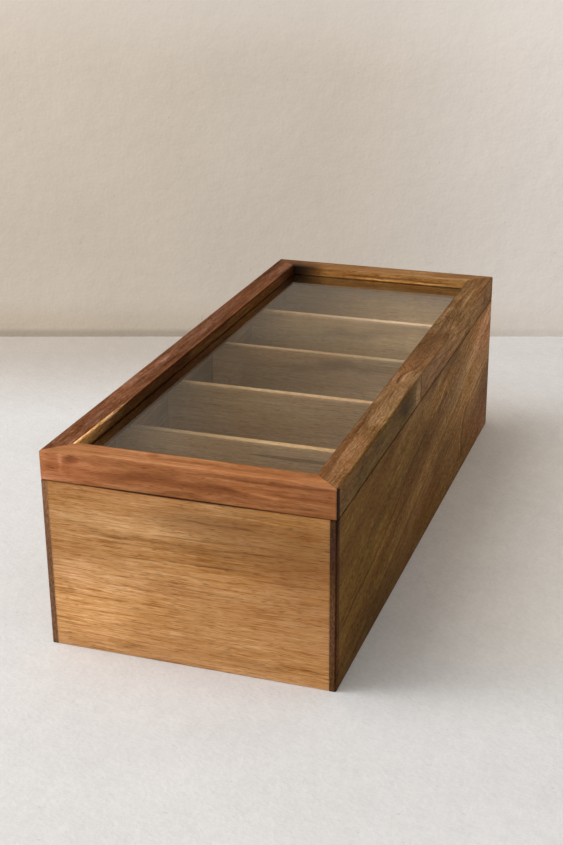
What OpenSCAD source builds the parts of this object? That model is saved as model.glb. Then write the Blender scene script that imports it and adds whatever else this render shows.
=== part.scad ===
// Long wooden tea bag organizer box with five compartments and a glazed, hinged lid.
// X runs across the box, Y along it and Z up. The origin is the middle of the underside.
// The hinges are on the long side at -X, and the lid is lifted by its rail at +X.

/* [Box] */
// Width of the box across its short side
box_w = 150; // [120:1:220]
// Length of the box
box_len = 360; // [280:1:460]
// Height of the box below the lid
body_h = 90; // [70:1:130]
// Thickness of the side boards and the end panels
wall_t = 6; // [5:0.5:9]
// Thickness of side board left outside the end panel where the two are lapped
end_lip = 3.5; // [2.5:0.1:4.5]
// Rounding of the upright outer corners of the box and the lid
corner_r = 1.2; // [0.4:0.1:2]
// Rounding of the outer edges along the boards
body_edge_r = 0.5; // [0.2:0.1:1]

/* [Bottom and dividers] */
// Thickness of the bottom panel
bottom_t = 3; // [2:0.5:5]
// Width of the ledge that carries the bottom panel's edge
bottom_lap = 3; // [2:0.5:4]
// Thickness of a divider
divider_t = 4; // [2:0.5:5]
// Depth of the slots that hold the dividers
slot_depth = 2; // [1:0.5:3]
// Rounding of a divider's top edges
divider_edge_r = 0.5; // [0.2:0.1:0.9]

/* [Lid] */
// Height of the lid's rails
lid_h = 15.2; // [13:0.1:22]
// Width of the lid's rails
rail_w = 14.5; // [12:0.5:24]
// Gap between the closed lid and the box
seam_gap = 0.3; // [0.2:0.1:0.8]
// Rounding of the upper outer edges of the lid
lid_edge_r = 1.4; // [0.3:0.1:2]
// Rounding of the upper inner edges of the lid's rails
inner_edge_r = 0.5; // [0.2:0.1:1]
// Thickness of the glass
glass_t = 2.5; // [2:0.5:4]
// Depth of the glass below the top of the rails
glass_recess = 6; // [3:0.5:7]
// Width of glass held in the rails' grooves
glass_lap = 5; // [3:0.5:6]

/* [Hinges] */
// Length of a hinge along its pin
hinge_len = 30; // [20:1:36]
// Radius of a hinge knuckle
knuckle_r = 2; // [1.6:0.1:2.3]
// Metal left behind the recess for the other leaf's knuckle
leaf_web = 1; // [0.6:0.1:1.6]
// Radius of the hinge pin
pin_r = 1; // [0.6:0.1:1.2]
// Distance of the pin's axis behind the back of the box
pin_out = 1; // [0.8:0.1:2]
// Angle at which the two leaves' heels meet and stop the lid
stop_angle = 100; // [90:1:115]
// Radius of a hinge screw's shank
screw_r = 0.9; // [0.6:0.05:1.1]
// Radius of a hinge screw's head
screw_head_r = 1.5; // [1.3:0.05:1.6]
// Length of a hinge screw
screw_len = 9; // [6:0.5:11]

/* [Hidden] */
$fn = 48;

// Reach of a cutting shape past the face that it cuts
cut_over = 1;

// Half sizes and inner faces of the box
half_w = box_w / 2;
half_l = box_len / 2;
inner_x = half_w - wall_t;
inner_y = half_l - wall_t;

// Clearances between glued or seated pieces
bottom_gap = 0.15;
slot_gap = 0.1;
slot_end_gap = 0.2;
groove_gap = 0.2;
glass_end_gap = 0.5;
mortise_gap = 0.1;

// The dividers share the length between the end panels equally
divider_count = 4;
divider_pitch = (2 * inner_y + divider_t) / (divider_count + 1);

// Heights of the lid and of its glass
lid_z = body_h + seam_gap;
glass_z = lid_z + lid_h - glass_recess - glass_t;
glass_groove = glass_lap + glass_end_gap;

// Hinge sizes about the pin's axis
knuckle_count = 5;
knuckle_gap = 0.2;
row_gap = 0.2;
pin_gap = 0.05;
pin_inset = 0.2;
leaf_end_gap = 0.2;
stop_play = 0.4;
leaf_top = knuckle_r + knuckle_gap + leaf_web;
leaf_in = pin_out + wall_t - leaf_end_gap;
heel_angle = (stop_angle + stop_play) / 2;
row_pitch = hinge_len / knuckle_count;
row_len = row_pitch - row_gap;

// Each hinge is centred over an end compartment
hinge_y = 2 * divider_pitch;
hinge_x = -half_w - pin_out;
hinge_z = body_h + seam_gap / 2;

// Screws go through the middle of the wall, in rows where their own leaf has a knuckle
screw_gap = 0.05;
screw_x = pin_out + wall_t / 2;
screw_head_h = screw_head_r - screw_r;
screw_tip_h = 2;
screw_y_body = 2 * row_pitch;
screw_y_lid = row_pitch;

// Waste that rounding a corner at the origin takes off, with the solid towards +X and +Y
module corner_waste(r) {
  difference() {
    translate([-cut_over, -cut_over]) square(r + cut_over);
    translate([r, r]) circle(r);
  }
}

// Rectangle from the origin, with its corners at +X rounded: low_r below and high_r above
module board_section(w, h, low_r, high_r) {
  difference() {
    square([w, h]);
    translate([w, 0]) mirror([1, 0]) corner_waste(low_r);
    translate([w, h]) rotate(180) corner_waste(high_r);
  }
}

// Prism along Y, centred, whose section is drawn with its height upwards
module prism_y(length) {
  rotate([90, 0, 0]) linear_extrude(length, center = true) children();
}

// The whole height of the box or lid, within its rounded plan
module plan_block(w, l, r, z, h) {
  translate([0, 0, z]) linear_extrude(h) difference() {
    square([w, l], center = true);
    for (mx = [0, 1]) for (my = [0, 1])
      mirror([mx, 0]) mirror([0, my]) translate([-w / 2, -l / 2]) corner_waste(r);
  }
}

// Everything placed twice, once at each hinge
module at_each_hinge() {
  for (side = [-1, 1]) translate([hinge_x, side * hinge_y, hinge_z]) children();
}

// Long board at +X, rebated at both ends for the end panels and below for the bottom
module side_board() {
  end_lap_w = wall_t - end_lip;
  rebate_l = 2 * (inner_y + bottom_lap);
  intersection() {
    plan_block(box_w, box_len, corner_r, 0, body_h);
    difference() {
      translate([inner_x, 0, 0]) prism_y(box_len) board_section(wall_t, body_h, body_edge_r, body_edge_r);
      for (end = [0, 1]) mirror([0, end, 0])
        translate([inner_x - cut_over, inner_y, -cut_over])
          cube([end_lap_w + cut_over, wall_t + cut_over, body_h + 2 * cut_over]);
      translate([inner_x - cut_over, -rebate_l / 2, -cut_over])
        cube([bottom_lap + cut_over, rebate_l, bottom_t + cut_over]);
      for (i = [1:divider_count])
        translate([inner_x - cut_over, divider_y(i) - divider_t / 2 - slot_gap, bottom_t - cut_over])
          cube([slot_depth + cut_over, divider_t + 2 * slot_gap, body_h + cut_over]);
    }
  }
}

// Middle of divider i, counted from the front
function divider_y(i) = (i - (divider_count + 1) / 2) * divider_pitch;

// Short panel at -Y, between the side boards' lips, rebated below for the bottom
module end_panel() {
  panel_w = box_w - 2 * end_lip;
  difference() {
    translate([0, -inner_y, 0]) rotate([0, 0, -90])
      prism_y(panel_w) board_section(wall_t, body_h, body_edge_r, body_edge_r);
    translate([-half_w, -inner_y - bottom_lap, -cut_over])
      cube([box_w, bottom_lap + cut_over, bottom_t + cut_over]);
  }
}

// One divider, standing on the bottom panel with its ends in the slots
module divider(i) {
  divider_w = 2 * (inner_x + slot_depth - slot_end_gap);
  divider_h = body_h - bottom_t;
  translate([0, divider_y(i), bottom_t]) rotate([90, 0, 90])
    linear_extrude(divider_w, center = true) difference() {
      translate([-divider_t / 2, 0]) square([divider_t, divider_h]);
      for (face = [0, 1]) mirror([face, 0])
        translate([-divider_t / 2, divider_h]) mirror([0, 1]) corner_waste(divider_edge_r);
    }
}

// Section of a lid rail: inner face at 0, outer face at rail_w, with the groove for the glass
module rail_section() {
  difference() {
    board_section(rail_w, lid_h, body_edge_r, lid_edge_r);
    translate([0, lid_h]) mirror([0, 1]) corner_waste(inner_edge_r);
    translate([-cut_over, glass_z - lid_z]) square([glass_groove + cut_over, glass_t + groove_gap]);
  }
}

// Lid rail along Y at +X, mitred at both ends, for a frame reaching half_across and half_along
module lid_rail(half_across, half_along) {
  intersection() {
    translate([half_across - rail_w, 0, lid_z]) prism_y(2 * half_along) rail_section();
    translate([0, 0, lid_z - cut_over]) linear_extrude(lid_h + 2 * cut_over) polygon([
      [half_across, half_along], [half_across - rail_w, half_along - rail_w],
      [half_across - rail_w, rail_w - half_along], [half_across, -half_along]
    ]);
  }
}

// The lid's rounded outer corners
module lid_plan() {
  plan_block(box_w, box_len, corner_r, lid_z, lid_h);
}

// Cylinders about the pin's axis in every second row of knuckles
module knuckles(first_row, r, length) {
  for (row = [first_row:2:knuckle_count - 1])
    translate([0, (row + 0.5) * row_pitch - hinge_len / 2, 0])
      rotate([90, 0, 0]) cylinder(r = r, h = length, center = true);
}

// A screw about its axis, head face at 0 and point upwards, with room all round when it cuts a hole
module screw(room) {
  cylinder(r1 = screw_head_r + room, r2 = screw_r + room, h = screw_head_h);
  cylinder(r = screw_r + room, h = screw_len - screw_tip_h + room);
  translate([0, 0, screw_len - screw_tip_h + room])
    cylinder(r1 = screw_r + room, r2 = 0.2, h = screw_tip_h);
}

// The two screws of the leaf above the pin, at their distance along it from its middle
module leaf_screws(y, room) {
  for (side = [-1, 1]) translate([screw_x, side * y, seam_gap / 2]) screw(room);
}

// Upper hinge leaf: a plate, a heel behind the pin that stops the lid, and its own knuckles
module hinge_leaf(own_row, other_row, screw_y) {
  difference() {
    union() {
      prism_y(hinge_len) polygon([
        [leaf_in, seam_gap / 2], [leaf_in, leaf_top],
        [-leaf_top / tan(heel_angle), leaf_top], [-seam_gap / 2 / tan(heel_angle), seam_gap / 2]
      ]);
      knuckles(own_row, knuckle_r, row_len);
    }
    knuckles(other_row, knuckle_r + knuckle_gap, row_len + 2 * row_gap);
    prism_y(hinge_len + 2 * cut_over) circle(pin_r + pin_gap);
    leaf_screws(screw_y, screw_gap);
  }
}

// Mortise for the upper leaf, with the pilot holes of its screws
module leaf_mortise(screw_y) {
  mortise_l = hinge_len + 2 * mortise_gap;
  translate([0, -mortise_l / 2, -cut_over]) cube([leaf_in + mortise_gap, mortise_l, leaf_top + cut_over]);
  leaf_screws(screw_y, screw_gap);
}

module hinge_leaf_lid() {
  color("darkgoldenrod") hinge_leaf(1, 0, screw_y_lid);
}

module hinge_leaf_body() {
  color("darkgoldenrod") mirror([0, 0, 1]) hinge_leaf(0, 1, screw_y_body);
}

module hinge_pin() {
  color("goldenrod") rotate([90, 0, 0]) cylinder(r = pin_r, h = hinge_len - 2 * pin_inset, center = true);
}

module side_board_left() {
  color("saddlebrown") difference() {
    mirror([1, 0, 0]) side_board();
    at_each_hinge() mirror([0, 0, 1]) leaf_mortise(screw_y_body);
  }
}

module side_board_right() {
  color("saddlebrown") side_board();
}

module end_panel_front() {
  color("peru") end_panel();
}

module end_panel_rear() {
  color("peru") mirror([0, 1, 0]) end_panel();
}

module bottom_panel() {
  panel_w = 2 * (inner_x + bottom_lap - bottom_gap);
  panel_l = 2 * (inner_y + bottom_lap - bottom_gap);
  color("burlywood") translate([-panel_w / 2, -panel_l / 2, 0]) cube([panel_w, panel_l, bottom_t]);
}

module divider_1() { color("tan") divider(1); }
module divider_2() { color("tan") divider(2); }
module divider_3() { color("tan") divider(3); }
module divider_4() { color("tan") divider(4); }

module lid_rail_right() {
  color("sienna") intersection() {
    lid_plan();
    lid_rail(half_w, half_l);
  }
}

module lid_rail_left() {
  color("sienna") difference() {
    intersection() {
      lid_plan();
      mirror([1, 0, 0]) lid_rail(half_w, half_l);
    }
    at_each_hinge() leaf_mortise(screw_y_lid);
  }
}

module lid_rail_rear() {
  color("sienna") intersection() {
    lid_plan();
    rotate([0, 0, 90]) lid_rail(half_l, half_w);
  }
}

module lid_rail_front() {
  color("sienna") intersection() {
    lid_plan();
    rotate([0, 0, -90]) lid_rail(half_l, half_w);
  }
}

module lid_glass() {
  glass_w = box_w - 2 * (rail_w - glass_lap);
  glass_l = box_len - 2 * (rail_w - glass_lap);
  color("lightcyan", 0.4) translate([-glass_w / 2, -glass_l / 2, glass_z]) cube([glass_w, glass_l, glass_t]);
}

module hinge_leaf_body_front() { translate([hinge_x, -hinge_y, hinge_z]) hinge_leaf_body(); }
module hinge_leaf_body_rear() { translate([hinge_x, hinge_y, hinge_z]) hinge_leaf_body(); }
module hinge_leaf_lid_front() { translate([hinge_x, -hinge_y, hinge_z]) hinge_leaf_lid(); }
module hinge_leaf_lid_rear() { translate([hinge_x, hinge_y, hinge_z]) hinge_leaf_lid(); }
module hinge_pin_front() { translate([hinge_x, -hinge_y, hinge_z]) hinge_pin(); }
module hinge_pin_rear() { translate([hinge_x, hinge_y, hinge_z]) hinge_pin(); }

module hinge_screws_body() {
  color("gold") at_each_hinge() mirror([0, 0, 1]) leaf_screws(screw_y_body, 0);
}

module hinge_screws_lid() {
  color("gold") at_each_hinge() leaf_screws(screw_y_lid, 0);
}

side_board_left();
side_board_right();
end_panel_front();
end_panel_rear();
bottom_panel();
divider_1();
divider_2();
divider_3();
divider_4();
lid_rail_front();
lid_rail_rear();
lid_rail_left();
lid_rail_right();
lid_glass();
hinge_leaf_body_front();
hinge_leaf_body_rear();
hinge_leaf_lid_front();
hinge_leaf_lid_rear();
hinge_pin_front();
hinge_pin_rear();
hinge_screws_body();
hinge_screws_lid();
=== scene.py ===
import math

import bpy
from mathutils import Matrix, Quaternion, Vector


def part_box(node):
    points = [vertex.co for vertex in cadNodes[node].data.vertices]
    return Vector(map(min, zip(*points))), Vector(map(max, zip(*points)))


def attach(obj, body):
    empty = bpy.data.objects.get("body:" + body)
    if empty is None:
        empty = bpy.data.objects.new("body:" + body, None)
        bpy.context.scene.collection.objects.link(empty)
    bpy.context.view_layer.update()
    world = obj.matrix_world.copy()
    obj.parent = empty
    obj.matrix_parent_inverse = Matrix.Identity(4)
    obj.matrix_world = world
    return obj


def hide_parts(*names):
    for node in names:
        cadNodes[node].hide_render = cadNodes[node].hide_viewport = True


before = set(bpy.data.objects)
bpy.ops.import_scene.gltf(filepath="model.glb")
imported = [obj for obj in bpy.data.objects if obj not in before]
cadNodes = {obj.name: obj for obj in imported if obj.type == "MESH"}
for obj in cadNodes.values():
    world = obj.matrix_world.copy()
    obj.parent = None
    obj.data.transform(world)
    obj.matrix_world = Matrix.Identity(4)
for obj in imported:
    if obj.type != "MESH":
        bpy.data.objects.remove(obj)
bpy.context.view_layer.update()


# Small helpers for building node trees

def wire(tree, value, socket):
    if isinstance(value, bpy.types.NodeSocket):
        tree.links.new(value, socket)
    else:
        socket.default_value = value


def put(tree, kind, inputs=None, **settings):
    made = tree.nodes.new("ShaderNode" + kind)
    for name, value in settings.items():
        setattr(made, name, value)
    for name, value in (inputs or {}).items():
        wire(tree, value, made.inputs[name])
    return made


def calc(tree, operation, *values):
    made = put(tree, "Math", operation=operation)
    for value, socket in zip(values, made.inputs):
        wire(tree, value, socket)
    return made.outputs[0]


def vectorCalc(tree, operation, *values):
    made = put(tree, "VectorMath", operation=operation)
    for value, socket in zip(values, made.inputs):
        wire(tree, value, socket)
    return made.outputs["Value" if operation in ("LENGTH", "DOT_PRODUCT") else "Vector"]


def ramp01(tree, value, low, high, smooth=True):
    # 0 at low and 1 at high, also with low above high
    made = put(tree, "MapRange", {"Value": value, "From Min": low, "From Max": high})
    made.interpolation_type = "SMOOTHSTEP" if smooth else "LINEAR"
    return made.outputs[0]


def blend(tree, amount, first, second, mode="MIX"):
    made = put(tree, "Mix", data_type="RGBA", blend_type=mode)
    for value, index in ((amount, 0), (first, 6), (second, 7)):
        wire(tree, value, made.inputs[index])
    return made.outputs[2]


def dim(tree, colour, share):
    grey = put(tree, "CombineColor", {"Red": share, "Green": share, "Blue": share}).outputs[0]
    return blend(tree, 1.0, colour, grey, "MULTIPLY")


def noise(tree, place, grainSize, detail=2.0, roughness=0.5, output="Fac"):
    # grainSize is the size of one blotch along, across and through the board
    stretched = vectorCalc(tree, "DIVIDE", place, grainSize)
    made = put(tree, "TexNoise", {
        "Vector": stretched, "Scale": 1.0, "Detail": detail, "Roughness": roughness,
    })
    return made.outputs[output]


def linear(colour):
    channels = [c / 255 for c in colour]
    return tuple(c / 12.92 if c <= 0.04045 else ((c + 0.055) / 1.055) ** 2.4 for c in channels) + (1.0,)


def newMaterial(name):
    material = bpy.data.materials.new(name)
    material.use_nodes = True
    material.node_tree.nodes.clear()
    return material, material.node_tree


def placeInMm(tree):
    return vectorCalc(tree, "MULTIPLY", put(tree, "TexCoord").outputs["Object"], (1000.0, 1000.0, 1000.0))


def dress(name, material):
    slots = cadNodes[name].data.materials
    slots.clear()
    slots.append(material)


def addGroup(tree, group, inputs):
    made = put(tree, "Group")
    made.node_tree = group
    for name, value in inputs.items():
        wire(tree, value, made.inputs[name])
    return made


def newGroup(name, inputs, outputs, kind="ShaderNodeTree"):
    group = bpy.data.node_groups.new(name, kind)
    for socketName, socketKind in inputs.items():
        group.interface.new_socket(name=socketName, in_out="INPUT", socket_type="NodeSocket" + socketKind)
    for socketName, socketKind in outputs.items():
        group.interface.new_socket(name=socketName, in_out="OUTPUT", socket_type="NodeSocket" + socketKind)
    return group, group.nodes.new("NodeGroupInput").outputs, group.nodes.new("NodeGroupOutput").inputs


# Camera, at the height and angle of the photograph

cameraSettings = {
    "place": (0.24179, -0.74220, 0.37418),  # metres
    "azimuth": 18.965,  # degrees to the right of the box's long axis
    "down": 21.915,  # degrees by which it looks down
    "roll": -0.43,
    "lens": 61.24,  # mm
}


def makeCamera(s):
    turn, down = math.radians(s["azimuth"]), math.radians(s["down"])
    ahead = Vector((-math.sin(turn) * math.cos(down), math.cos(turn) * math.cos(down), -math.sin(down)))
    data = bpy.data.cameras.new("camera")
    data.lens = s["lens"]
    data.clip_start, data.clip_end = 0.01, 50
    camera = bpy.data.objects.new("camera", data)
    bpy.context.scene.collection.objects.link(camera)
    camera.location = s["place"]
    camera.rotation_mode = "QUATERNION"
    rolled = Quaternion((0, 0, 1), math.radians(s["roll"]))
    camera.rotation_quaternion = ahead.to_track_quat("-Z", "Y") @ rolled
    bpy.context.scene.camera = camera


makeCamera(cameraSettings)
print("camera set")


# Pale floor, plastered wall behind, and soft light from a wide window on the left

# metres, degrees and, in whole numbers, colours as a screen shows them
studio = {
    "wallAway": 0.3415,  # from the middle of the box, straight away from the camera
    "wallTurn": -1.3,  # degrees by which the wall leaves the camera's square
    "wallHeight": 1.3,
    "halfWidth": 4.0,
    "coveRadius": 0.004,
    "floorColour": (231, 230, 230),
    "wallColour": (226, 217, 204),
    # the wall as it is seen, at left, in the middle and at right, and high up
    "wallLook": [(203, 189, 173), (196, 184, 170), (216, 207, 199)],
    "wallHigh": (218, 212, 206),
    "wallLight": 0.95,  # at its foot
    "wallRises": [(40, 190, 0.04), (60, 330, 0.10), (205, 270, 0.06)],  # from and to mm high, light added
    "wallJoint": -0.26,  # light lost in the joint between wall and floor
    "wallFootShade": (0.9, 0.87, 0.82, 1.0),  # painted shade right above the joint: what it leaves of the colour
    "floorWallShade": (0.885, 0.85, 0.815),  # likewise, painted shade on the floor along the wall
    "boxShadowBounce": (1.04, 1.0, 0.94, 1.0),  # painted warm bounce light on the floor in the shadow of the box
    "plasterContrast": 0.14,
    "mirrored": 0.45,  # how much of the room the glass and the oiled wood mirror
    # likewise of the wall's glow, dimmed as painted shade in reflections: high up, low down, and added at
    # right and left
    "wallMirrored": (0.2, 0.44, 0.3, 0.26),
    "backdrop": (0.76, 0.75, 0.73),
    "keyFrom": (-0.961, -0.277),  # where the window's light comes from, seen in plan
    "keyElevation": 47,
    "keyAway": 2.4,
    "keySize": (1.28, 3.0),
    "keyPower": 42.5,  # watts
    "keyColour": (0.965, 0.995, 1.015),
    "roomColour": (1.0, 0.975, 0.94),
    "roomStrength": 0.5,
    "roomToward": (-0.55, -0.83, 0.0),  # the brighter side of the room
    "roomContrast": 0.85,
}


def plasterTone(tree, place, colour, strength):
    # clouds, trowel marks with painted shade as if lit from the upper left, and a few pits
    def trowelled(size):
        shifted = vectorCalc(tree, "ADD", place, (-0.35 * size, -0.2 * size, 0.35 * size))
        here, there = (noise(tree, p, (size,) * 3, 3, 0.6) for p in (place, shifted))
        return calc(tree, "SUBTRACT", here, there)

    cloudy = calc(tree, "SUBTRACT", noise(tree, place, (70.0,) * 3, 4, 0.6), 0.5)
    marks = calc(tree, "ADD", trowelled(2.4), calc(tree, "MULTIPLY", trowelled(9.0), 0.6))
    pits = ramp01(tree, noise(tree, place, (3.2,) * 3, 1), 0.74, 0.80)
    shade = calc(tree, "MULTIPLY_ADD", calc(tree, "MULTIPLY_ADD", marks, 1.2, cloudy), strength, 1.0)
    shade = calc(tree, "MULTIPLY_ADD", pits, -0.12, shade)
    return dim(tree, colour, shade), marks


def plasterShader(tree, place, colour):
    tone, marks = plasterTone(tree, place, colour, studio["plasterContrast"])
    bump = put(tree, "Bump", {"Height": marks, "Strength": 0.3, "Distance": 0.0006})
    return put(tree, "BsdfPrincipled", {
        "Base Color": tone, "Roughness": 0.9, "Specular IOR Level": 0.15, "Normal": bump.outputs[0],
    }).outputs[0]


def makeStudio(s):
    turn = math.radians(cameraSettings["azimuth"] + s["wallTurn"])
    away = Vector((-math.sin(turn), math.cos(turn), 0))
    side = Vector((away.y, -away.x, 0))

    def sheet(name, profile, material):
        # profile is distance from the box and height, drawn out sideways
        mesh = bpy.data.meshes.new(name)
        ends = (-s["halfWidth"], s["halfWidth"])
        points = [away * d + side * w + Vector((0, 0, z)) for d, z in profile for w in ends]
        faces = [(2 * i, 2 * i + 1, 2 * i + 3, 2 * i + 2) for i in range(len(profile) - 1)]
        mesh.from_pydata(points, [], faces)
        mesh.materials.append(material)
        mesh.shade_smooth()
        made = bpy.data.objects.new(name, mesh)
        bpy.context.scene.collection.objects.link(made)

    # the floor gets darker and warmer along the foot of the wall, mostly at the left, as painted shade,
    # and warmer in the shadow of the box as painted bounce light
    floorStuff, tree = newMaterial("floorPlaster")
    place = placeInMm(tree)
    across = vectorCalc(tree, "DOT_PRODUCT", place, tuple(side))
    behindBox = vectorCalc(tree, "DOT_PRODUCT", place, tuple(away))
    fromWall = calc(tree, "SUBTRACT", s["wallAway"] * 1000, behindBox)
    nearWall = calc(tree, "MULTIPLY", ramp01(tree, fromWall, 190, 30), ramp01(tree, across, 160, -160))
    dusky = linear(tuple(c * f for c, f in zip(s["floorColour"], s["floorWallShade"])))
    colour = blend(tree, nearWall, linear(s["floorColour"]), dusky)
    besideBox = ramp01(tree, calc(tree, "ABSOLUTE", calc(tree, "SUBTRACT", across, 145)), 120, 40)
    alongBox = ramp01(tree, calc(tree, "ABSOLUTE", calc(tree, "SUBTRACT", fromWall, 360)), 230, 90)
    inShadow = calc(tree, "MULTIPLY", besideBox, alongBox)
    colour = blend(tree, inShadow, colour, s["boxShadowBounce"], "MULTIPLY")
    put(tree, "OutputMaterial", {"Surface": plasterShader(tree, place, colour)})
    sheet("floor", [(-s["halfWidth"], 0), (s["halfWidth"], 0)], floorStuff)

    # the wall shows its own soft light and shade to the camera, and plain plaster to the lamps;
    # it is seen from the front only, so that the box can be looked at from behind
    wallStuff, tree = newMaterial("wallPlaster")
    place = placeInMm(tree)
    across = vectorCalc(tree, "DOT_PRODUCT", place, tuple(side))
    up = put(tree, "SeparateXYZ", {"Vector": place}).outputs["Z"]
    look = blend(tree, ramp01(tree, across, -260, 0), linear(s["wallLook"][0]), linear(s["wallLook"][1]))
    look = blend(tree, ramp01(tree, across, 0, 240), look, linear(s["wallLook"][2]))
    light = s["wallLight"]
    for start, end, more in s["wallRises"]:
        light = calc(tree, "MULTIPLY_ADD", ramp01(tree, up, start, end), more, light)
    leftwards = ramp01(tree, across, 400, -120)
    joint = calc(tree, "MULTIPLY", ramp01(tree, up, 7, 2), leftwards)
    light = calc(tree, "MULTIPLY", light, calc(tree, "MULTIPLY_ADD", joint, s["wallJoint"], 1.0))
    # painted shade right above the joint, strongest at the left
    foot = calc(tree, "MULTIPLY_ADD", leftwards, 0.6, 0.4)
    foot = calc(tree, "MULTIPLY", ramp01(tree, up, 34, 6), foot)
    look = blend(tree, foot, dim(tree, look, light), s["wallFootShade"], "MULTIPLY")
    look = plasterTone(tree, place, look, s["plasterContrast"])[0]
    highUp = calc(tree, "MULTIPLY", ramp01(tree, up, 205, 275), 0.3)
    look = blend(tree, highUp, look, linear(s["wallHigh"]))
    rays = put(tree, "LightPath").outputs
    # in reflections the wall's glow is dimmed and tinted by place: painted shade on the mirrored wall
    high, low, right, left = s["wallMirrored"]
    less = calc(tree, "MULTIPLY_ADD", ramp01(tree, up, 225, 190), low - high, high - 1.0)
    less = calc(tree, "MULTIPLY_ADD", ramp01(tree, across, -110, 110), right, less)
    less = calc(tree, "MULTIPLY_ADD", ramp01(tree, across, -50, -130), left, less)
    strength = calc(tree, "MULTIPLY_ADD", rays["Is Glossy Ray"], less, 1.0)
    look = blend(tree, rays["Is Glossy Ray"], look, (1.0, 0.98, 0.9, 1.0), "MULTIPLY")
    glow = put(tree, "Emission", {"Color": look, "Strength": strength}).outputs[0]
    seen = calc(tree, "MAXIMUM", rays["Is Camera Ray"], rays["Is Transmission Ray"])
    seen = calc(tree, "MAXIMUM", seen, rays["Is Glossy Ray"])
    plain = plasterShader(tree, place, linear(s["wallColour"]))
    shown = put(tree, "MixShader", {0: seen, 1: plain, 2: glow}).outputs[0]
    behind = put(tree, "NewGeometry").outputs["Backfacing"]
    clear = put(tree, "BsdfTransparent").outputs[0]
    shown = put(tree, "MixShader", {0: behind, 1: shown, 2: clear}).outputs[0]
    put(tree, "OutputMaterial", {"Surface": shown})
    r = s["coveRadius"]
    bends = [math.radians(9 * i) for i in range(11)]
    cove = [(s["wallAway"] - r + r * math.sin(a), r - r * math.cos(a) + 0.0001) for a in bends]
    sheet("wall", cove + [(s["wallAway"], s["wallHeight"])], wallStuff)

    lamp = bpy.data.lights.new("window", "AREA")
    lamp.shape = "RECTANGLE"
    lamp.size, lamp.size_y = s["keySize"]
    lamp.energy = s["keyPower"]
    lamp.color = s["keyColour"]
    lampObject = bpy.data.objects.new("window", lamp)
    bpy.context.scene.collection.objects.link(lampObject)
    rise = math.radians(s["keyElevation"])
    toward = Vector((s["keyFrom"][0] * math.cos(rise), s["keyFrom"][1] * math.cos(rise), math.sin(rise)))
    lampObject.location = toward * s["keyAway"]
    lampObject.rotation_euler = toward.to_track_quat("Z", "Y").to_euler()

    # the room: brighter on the side of the window and the camera, and a pale backdrop past the floor
    world = bpy.data.worlds.new("softRoom")
    bpy.context.scene.world = world
    world.use_nodes = True
    tree = world.node_tree
    tree.nodes.clear()
    rays = put(tree, "LightPath").outputs
    direction = put(tree, "TexCoord").outputs["Generated"]
    facing = vectorCalc(tree, "DOT_PRODUCT", direction, s["roomToward"])
    strength = calc(tree, "MULTIPLY_ADD", facing, s["roomStrength"] * s["roomContrast"], s["roomStrength"])
    mirrored = calc(tree, "MULTIPLY_ADD", rays["Is Glossy Ray"], s["mirrored"] - 1, 1.0)
    strength = calc(tree, "MULTIPLY", strength, mirrored)
    room = put(tree, "Background", {"Color": s["roomColour"] + (1.0,), "Strength": strength})
    pale = put(tree, "Background", {"Color": s["backdrop"] + (1.0,), "Strength": 1.0})
    seen = calc(tree, "MAXIMUM", rays["Is Camera Ray"], rays["Is Transmission Ray"])
    shown = put(tree, "MixShader", {0: seen, 1: room.outputs[0], 2: pale.outputs[0]})
    put(tree, "OutputWorld", {"Surface": shown.outputs[0]})


makeStudio(studio)
bpy.context.scene.view_settings.view_transform = "Standard"
print("studio lit")


# Wood. Every board is cut from the same solid pattern, laid out in millimetres with the grain along X

# the inputs of the pattern that are plain numbers, each with its name in the boards' tables
figureInputs = {"Ring Width": "ringWidth"} | {name.title(): name for name in (
    "wander", "rings", "lines", "length", "streaks", "blotches",
    "hairs", "fibres", "flecks", "clouds", "ripple",
)}


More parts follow.
